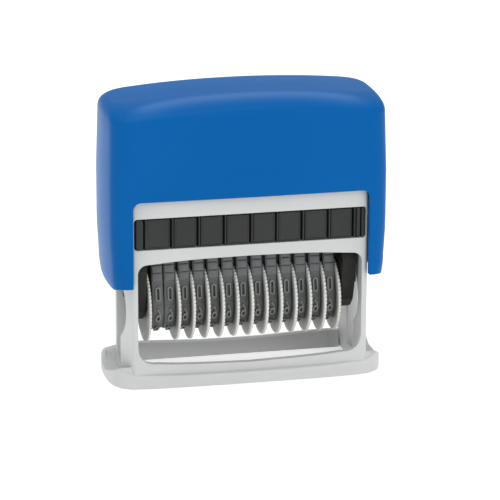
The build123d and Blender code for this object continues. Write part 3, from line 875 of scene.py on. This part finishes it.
def wheel_mesh(side):
    """Digit wheel about the X axis, origin at the band centre on the axle. side +1: disc on the right."""
    per = 10
    n = TEETH * per
    # x measured from the disc's left face: smooth shoulder on the left, beads that deepen towards the right
    disc = [(0.06, 1.56, 0), (0.06, 2.6, 0), (0.11, 2.75, 0), (0.11, 6.9, 0), (0.04, 7.15, 0), (0.04, 8.30, 0.0),
            (0.08, 8.66, 0.0), (0.16, 8.90, 0.05), (0.27, 9.05, 0.2), (0.40, 9.12, 0.5), (0.52, 9.13, 0.8),
            (0.64, 9.11, 1.0), (0.73, 9.02, 1.0), (0.79, 8.86, 0.95), (0.80, 8.60, 0.6), (0.78, 8.25, 0.0),
            (0.76, 7.15, 0), (0.69, 6.9, 0), (0.69, 2.75, 0), (0.76, 2.6, 0), (0.76, 1.56, 0)]
    left = 1.36 if side > 0 else -2.16
    verts, faces = [], []
    for x, r, k in disc:
        for i in range(n):
            a = 2 * math.pi * i / n
            ph = (i % per) / per
            wave = abs(math.sin(math.pi * ph)) ** 0.55     # rounded beads with narrow grooves
            rr = r - 0.42 * k * (1 - wave)
            verts.append((left + x, rr * math.cos(a), rr * math.sin(a)))
    m = len(disc)
    for j in range(m):
        j2 = (j + 1) % m
        for i in range(n):
            i2 = (i + 1) % n
            faces.append((j * n + i, j * n + i2, j2 * n + i2, j2 * n + i))
    # drum with ten shallow flutes
    base = len(verts)
    q = 120
    drum = [(-1.30, 1.56), (-1.30, 4.65), (-1.18, 4.82), (1.30, 4.82), (1.44, 4.65), (1.44, 1.56)]
    for x, r in drum:
        for i in range(q):
            a = 2 * math.pi * i / q
            rr = r - (0.25 * max(0.0, math.cos(10 * a)) ** 4 if r > 4 else 0)
            verts.append((side * x, rr * math.cos(a), rr * math.sin(a)))
    for j in range(len(drum)):
        j2 = (j + 1) % len(drum)
        for i in range(q):
            i2 = (i + 1) % q
            faces.append((base + j * q + i, base + j * q + i2, base + j2 * q + i2, base + j2 * q + i))
    ob = mesh_object("wheel_shape", verts, faces, M_WHEEL)
    bm = bmesh.new()
    bm.from_mesh(ob.data)
    bmesh.ops.recalc_face_normals(bm, faces=bm.faces)
    bm.to_mesh(ob.data)
    bm.free()
    sharp_by_angle(ob, 50.0)
    me = ob.data
    bpy.data.objects.remove(ob)
    return me


FIRST_SHIFT = 0.6          # no disc stands between the first two bands, so they run closer together
wheel_right = wheel_mesh(1)
wheel_left = wheel_mesh(-1)
for i in range(COUNT):
    cx = GROUP_X + (i - 6) * PITCH
    me = wheel_left if i == 0 else wheel_right
    ob = bpy.data.objects.new(f"disc_{i + 1:02d}", me)
    collection.objects.link(ob)
    ob.location = (cx * MM, PIVOT_Y * MM, AXLE_Z * MM)
    ob.rotation_euler = (math.radians(1.3 * ((i * 7) % 5)), 0, 0)
    bpy.context.view_layer.update()
    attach(ob, f"wheel_{i + 1:02d}_body")
    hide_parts(f"wheel_{i + 1:02d}")


# ------------------------------------------------------------------ digit bands
def belt_path(drum, half, top, rad, step=0.25):
    """Belt outline as points (y, z, outward angle), relative to the pivot, going from the top centre down the front."""
    cy, cz = half - rad, top - rad
    d = math.hypot(cy, cz - AXLE_V)
    n = math.atan2(cz - AXLE_V, cy) - math.acos((drum - rad) / d)
    pts = []
    m = max(2, int(cy / step))
    for k in range(m):
        pts.append((-cy * k / m, top, math.pi / 2))
    m = max(4, int(rad * (math.pi / 2 - n) / step))
    for k in range(m):
        a = math.pi / 2 + (math.pi / 2 - n) * k / m
        pts.append((-cy + rad * math.cos(a), cz + rad * math.sin(a), a))
    a = math.pi - n
    p0 = (-cy + rad * math.cos(a), cz + rad * math.sin(a))
    p1 = (drum * math.cos(a), AXLE_V + drum * math.sin(a))
    length = math.hypot(p1[0] - p0[0], p1[1] - p0[1])
    m = int(length / step)
    for k in range(m):
        t = k / m
        pts.append((p0[0] + (p1[0] - p0[0]) * t, p0[1] + (p1[1] - p0[1]) * t, a))
    m = int(drum * (math.pi + 2 * n) / step)
    for k in range(m):
        b = math.pi - n + (math.pi + 2 * n) * k / m
        pts.append((drum * math.cos(b), AXLE_V + drum * math.sin(b), b))
    a2 = 2 * math.pi + n
    p0 = (drum * math.cos(a2), AXLE_V + drum * math.sin(a2))
    p1 = (cy + rad * math.cos(a2), cz + rad * math.sin(a2))
    m = int(length / step)
    for k in range(m):
        t = k / m
        pts.append((p0[0] + (p1[0] - p0[0]) * t, p0[1] + (p1[1] - p0[1]) * t, a2))
    m = max(4, int(rad * (math.pi / 2 - n) / step))
    for k in range(m):
        b = a2 + (math.pi / 2 - n) * k / m
        pts.append((cy + rad * math.cos(b), cz + rad * math.sin(b), b))
    m = max(2, int(cy / step))
    for k in range(m):
        pts.append((cy - cy * k / m, top, 2 * math.pi + math.pi / 2))
    return pts


PATH = belt_path(6.0, 3.6, 7.3, 1.8)
CUM = [0.0]
for (y0, z0, _a), (y1, z1, _b) in zip(PATH, PATH[1:] + PATH[:1]):
    CUM.append(CUM[-1] + math.hypot(y1 - y0, z1 - z0))
LOOP = CUM[-1]


def on_belt(s):
    """(y, z, angle) at distance s along the belt's outer face."""
    s = s % LOOP
    lo, hi = 0, len(PATH)
    while hi - lo > 1:
        mid = (lo + hi) // 2
        if CUM[mid] <= s:
            lo = mid
        else:
            hi = mid
    t = (s - CUM[lo]) / max(1e-9, CUM[lo + 1] - CUM[lo])
    p, q = PATH[lo], PATH[(lo + 1) % len(PATH)]
    qa = q[2] if lo + 1 < len(PATH) else p[2]
    return (p[0] + (q[0] - p[0]) * t, p[1] + (q[1] - p[1]) * t, p[2] + (qa - p[2]) * t)


def s_at_z(z):
    """Distance along the front run where the belt's face is at height z of the object."""
    best, arg = 1e9, 0.0
    for k in range(int(LOOP / 2 / 0.05)):
        s = k * 0.05
        y, zz, a = on_belt(s)
        if y < -1.0 and abs(PIVOT_Z + zz - z) < best:
            best, arg = abs(PIVOT_Z + zz - z), s
    return arg


def wrap(x, s, h):
    """Point on the belt: x across, s along, h above the face. Relative to the band centre and the pivot."""
    y, z, a = on_belt(s)
    return (x, y + h * math.cos(a), z + h * math.sin(a))


def belt_body(verts, faces):
    n = len(PATH)
    hw = 1.32
    section = [(-hw, -0.95), (-hw, -0.12), (-hw + 0.04, -0.04), (-hw + 0.13, 0.0), (hw - 0.13, 0.0),
               (hw - 0.04, -0.04), (hw, -0.12), (hw, -0.95)]
    start = len(verts)
    for x, h in section:
        for (y, z, a) in PATH:
            verts.append((x, y + h * math.cos(a), z + h * math.sin(a)))
    m = len(section)
    for j in range(m):
        j2 = (j + 1) % m
        for i in range(n):
            i2 = (i + 1) % n
            faces.append((start + j * n + i, start + j * n + i2, start + j2 * n + i2, start + j2 * n + i))


def pad_on_belt(verts, faces, s0, s1, x0, x1, h, r=0.12):
    """Raised block with eased edges that follows the belt."""
    m = max(2, int((s1 - s0) / 0.3))
    rows = []
    ss = [s0, s0 + r * 0.3, s0 + r] + [s0 + r + (s1 - s0 - 2 * r) * k / m for k in range(1, m)] + [s1 - r, s1 - r * 0.3, s1]
    xx = [x0, x0 + r * 0.3, x0 + r, (x0 + x1) / 2, x1 - r, x1 - r * 0.3, x1]

    def ease(d):
        return h - r + math.sqrt(max(0.0, r * r - (r - min(d, r)) ** 2))

    start = len(verts)
    for s in ss:
        for x in xx:
            d = min(s - s0, s1 - s, x - x0, x1 - x)
            verts.append(wrap(x, s, ease(d)))
    nx, ns = len(xx), len(ss)
    for i in range(ns - 1):
        for j in range(nx - 1):
            faces.append((start + i * nx + j, start + i * nx + j + 1, start + (i + 1) * nx + j + 1, start + (i + 1) * nx + j))
    border = [start + j for j in range(nx)] + [start + i * nx + nx - 1 for i in range(1, ns)] \
        + [start + (ns - 1) * nx + j for j in range(nx - 2, -1, -1)] + [start + i * nx for i in range(ns - 2, 0, -1)]
    low = len(verts)
    for idx in border:
        i, j = divmod(idx - start, nx)
        verts.append(wrap(xx[j], ss[i], -0.15))
    m = len(border)
    for k in range(m):
        k2 = (k + 1) % m
        faces.append((border[k], border[k2], low + k2, low + k))


def ring_shape(outer, inner):
    """Flat ring between two outlines with the same number of points."""
    n = len(outer)
    return outer + inner, [(k, (k + 1) % n, n + (k + 1) % n, n + k) for k in range(n)]


def digit_mesh(ch):
    """One raised digit as flat mesh data: verts (x, s, h), faces. x across the band, s along it."""
    bm = bmesh.new()
    if ch == "0":
        flat, quads = ring_shape(rounded_rect(0.62, 1.68, 0.55, 8), rounded_rect(0.31, 1.34, 0.28, 8))
        vs = [bm.verts.new((x, y, 0.0)) for x, y in flat]
        for q in quads:
            bm.faces.new([vs[i] for i in q])
    else:
        cu = bpy.data.curves.new("d", "FONT")
        cu.body = ch
        cu.size = 1.0
        cu.align_x = "CENTER"
        cu.resolution_u = 4
        ob = bpy.data.objects.new("d", cu)
        collection.objects.link(ob)
        bpy.context.view_layer.update()
        dg = bpy.context.evaluated_depsgraph_get()
        me = bpy.data.meshes.new_from_object(ob.evaluated_get(dg))
        bpy.data.objects.remove(ob)
        bpy.data.curves.remove(cu)
        xs = [v.co.x for v in me.vertices]
        ys = [v.co.y for v in me.vertices]
        cx, cy = (min(xs) + max(xs)) / 2, (min(ys) + max(ys)) / 2
        w, hgt = max(xs) - min(xs), max(ys) - min(ys)
        kx = (0.7 if ch == "1" else 1.26) / w
        ky = 3.3 / hgt
        bm.from_mesh(me)
        bpy.data.meshes.remove(me)
        for v in bm.verts:
            v.co.x = (v.co.x - cx) * kx
            v.co.y = (v.co.y - cy) * ky
            v.co.z = 0.0
    bmesh.ops.remove_doubles(bm, verts=bm.verts, dist=1e-4)
    for k in range(-4, 5):
        geom = bm.verts[:] + bm.edges[:] + bm.faces[:]
        bmesh.ops.bisect_plane(bm, geom=geom, plane_co=(0, k * 0.36, 0), plane_no=(0, 1, 0))
    bmesh.ops.recalc_face_normals(bm, faces=bm.faces)
    # walls: extrude the flat digit
    res = bmesh.ops.extrude_face_region(bm, geom=bm.faces[:])
    up_verts = [g for g in res["geom"] if isinstance(g, bmesh.types.BMVert)]
    for v in up_verts:
        v.co.z = 1.0
    bm.verts.ensure_lookup_table()
    verts = [(v.co.x, v.co.y, v.co.z) for v in bm.verts]
    index = {v: k for k, v in enumerate(bm.verts)}
    faces = [tuple(index[v] for v in f.verts) for f in bm.faces]
    tops = [all(verts[i][2] > 0.5 for i in f) for f in faces]
    bm.free()
    return verts, faces, tops


def build_band():
    verts, faces = [], []
    belt_body(verts, faces)
    mats = [0] * len(faces)
    s_zero = s_at_z(21.0)
    pitch = 5.0
    # digits: 0 in front, then 9, 8, 7 ... running down the front and round the drum
    order = "0987654321"
    # blank blocks above the zero, with dark grooves between
    grooves = [23.9, 25.9, 27.8, 29.6, 31.3]
    for a, b in zip(grooves, grooves[1:]):
        s1, s0 = s_at_z(a) - 0.13, s_at_z(b) + 0.13
        pad_on_belt(verts, faces, s0, s1, -1.16, 1.16, 0.34)
    mats += [2] * (len(faces) - len(mats))
    for k, ch in enumerate(order):
        s = s_zero + pitch * k
        if s > LOOP - 1.0:
            continue
        # low land the character stands on
        pad_on_belt(verts, faces, s - 2.3, s + 2.3, -1.2, 1.2, 0.1, 0.08)
        mats += [0] * (len(faces) - len(mats))
        if ch == "0":
            # the hollow of the zero is darker
            pad_on_belt(verts, faces, s - 1.22, s + 1.22, -0.27, 0.27, 0.15, 0.04)
            mats += [3] * (len(faces) - len(mats))
        dv, df, tops = digit_mesh(ch)
        start = len(verts)
        for x, y, h in dv:
            # mirrored, and head down on the front run, so that it prints the right way round
            verts.append(wrap(x, s + y, -0.1 + h * 0.78))
        faces.extend(tuple(start + q for q in f) for f in df)
        # tops of the digits take the lighter rubber, a painted highlight
        mats += [1 if t else 0 for t in tops]
    ob = mesh_object("band_shape", verts, faces, M_BAND)
    me = ob.data
    me.materials.append(M_DIGIT)
    me.materials.append(M_BLOCK)
    me.materials.append(M_HOLLOW)
    for p, idx in zip(me.polygons, mats):
        p.material_index = idx
    bm = bmesh.new()
    bm.from_mesh(me)
    bmesh.ops.recalc_face_normals(bm, faces=bm.faces)
    bm.to_mesh(me)
    bm.free()
    sharp_by_angle(ob, 35.0)
    bpy.data.objects.remove(ob)
    return me


band_me = build_band()
for i in range(COUNT):
    cx = GROUP_X + (i - 6) * PITCH + (FIRST_SHIFT if i == 0 else 0.0)
    ob = bpy.data.objects.new(f"digit_band_{i + 1:02d}", band_me)
    collection.objects.link(ob)
    ob.location = (cx * MM, PIVOT_Y * MM, PIVOT_Z * MM)
    bpy.context.view_layer.update()
    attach(ob, "carrier")
    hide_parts(f"band_{i + 1:02d}")

def build_spacer():
    """Thin ring on the axle between the first two bands."""
    xc = GROUP_X - 5 * PITCH - 1.45
    verts, faces = [], []
    prof = [(-0.07, 1.5), (-0.07, 5.65), (-0.04, 5.75), (0.04, 5.75), (0.07, 5.65), (0.07, 1.5)]
    n = 96
    for x, r in prof:
        for k in range(n):
            a = 2 * math.pi * k / n
            verts.append((xc + x, PIVOT_Y + r * math.cos(a), AXLE_Z + r * math.sin(a)))
    m = len(prof)
    for j in range(m):
        j2 = (j + 1) % m
        for k in range(n):
            k2 = (k + 1) % n
            faces.append((j * n + k, j * n + k2, j2 * n + k2, j2 * n + k))
    ob = mesh_object("spacer_ring", verts, faces, M_SPACER)
    clean(ob, 1e-7)
    sharp_by_angle(ob, 50.0)
    return ob


spacer = build_spacer()
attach(spacer, "carrier")
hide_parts("spacer_disc")

# ------------------------------------------------------------------ carried-over CAD nodes
CAD_MATERIALS = {
    "spring_deck": M_GREY, "return_spring_left": M_WIRE, "return_spring_right": M_WIRE,
    "left_pivot_arm": M_BLUE_IN, "right_pivot_arm": M_BLUE_IN, "pivot_pins": M_STEEL,
    "carrier_left_plate": M_BLACK, "carrier_right_plate": M_BLACK, "type_bridge": M_BLACK,
    "wheel_axle": M_STEEL, "ink_pad": M_PAD,
}
for name, mat in CAD_MATERIALS.items():
    ob = NODES[name]
    ob.data.materials.clear()
    ob.data.materials.append(mat)
    if name in ("carrier_left_plate", "carrier_right_plate", "type_bridge", "left_pivot_arm", "right_pivot_arm",
                "spring_deck", "ink_pad"):
        mod = ob.modifiers.new("edge", "BEVEL")
        mod.width = 0.22 * MM
        mod.segments = 2
        mod.limit_method = "ANGLE"
        mod.angle_limit = math.radians(40)

# the springs stand on the deck; each gets its own copy of its mesh
for name in ("return_spring_left", "return_spring_right"):
    ob = NODES[name]
    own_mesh(ob)

# ------------------------------------------------------------------ floor and light
fm, nt, bsdf = material("floor_white")
tc = nt.nodes.new("ShaderNodeTexCoord")
noise = nt.nodes.new("ShaderNodeTexNoise")
noise.inputs["Scale"].default_value = 4.0
nt.links.new(tc.outputs["Object"], noise.inputs["Vector"])
ramp = nt.nodes.new("ShaderNodeValToRGB")
ramp.color_ramp.elements[0].color = (0.90, 0.90, 0.90, 1)
ramp.color_ramp.elements[1].color = (0.92, 0.92, 0.92, 1)
nt.links.new(noise.outputs["Fac"], ramp.inputs["Fac"])
nt.links.new(ramp.outputs["Color"], bsdf.inputs["Base Color"])
bsdf.inputs["Roughness"].default_value = 0.6
bsdf.inputs["Specular IOR Level"].default_value = 0.2
bsdf.inputs["Emission Color"].default_value = (1.0, 1.0, 1.0, 1)
bsdf.inputs["Emission Strength"].default_value = 0.33
floor = mesh_object("floor", [(-3000, -3000, -0.02), (3000, -3000, -0.02), (3000, 3000, -0.02), (-3000, 3000, -0.02)],
                    [(0, 1, 2, 3)], fm, smooth=False)

world = bpy.data.worlds.new("studio")
scene.world = world
world.use_nodes = True
bg = world.node_tree.nodes["Background"]
bg.inputs["Color"].default_value = (1.0, 1.0, 1.0, 1)
bg.inputs["Strength"].default_value = 0.66


def area(name, loc, target, size, power, colour=(1, 1, 1), size_y=None):
    li = bpy.data.lights.new(name, "AREA")
    li.energy = power
    li.color = colour
    li.shape = "RECTANGLE"
    li.size = size
    li.size_y = size_y or size
    ob = bpy.data.objects.new(name, li)
    collection.objects.link(ob)
    ob.location = loc
    ob.rotation_euler = (Vector(target) - Vector(loc)).to_track_quat("-Z", "Y").to_euler()
    return ob


area("key", (0.35, -0.95, 0.55), (0, 0, 0.03), 0.6, 3.0)
area("top", (-0.15, 0.05, 0.9), (0, 0, 0.0), 0.7, 3.6)
area("left", (-1.0, -0.1, 0.45), (0, 0, 0.04), 0.5, 0.12)

scene.view_settings.view_transform = "Standard"
scene.view_settings.look = "None"
scene.view_settings.exposure = 0.0
scene.view_settings.gamma = 1.0
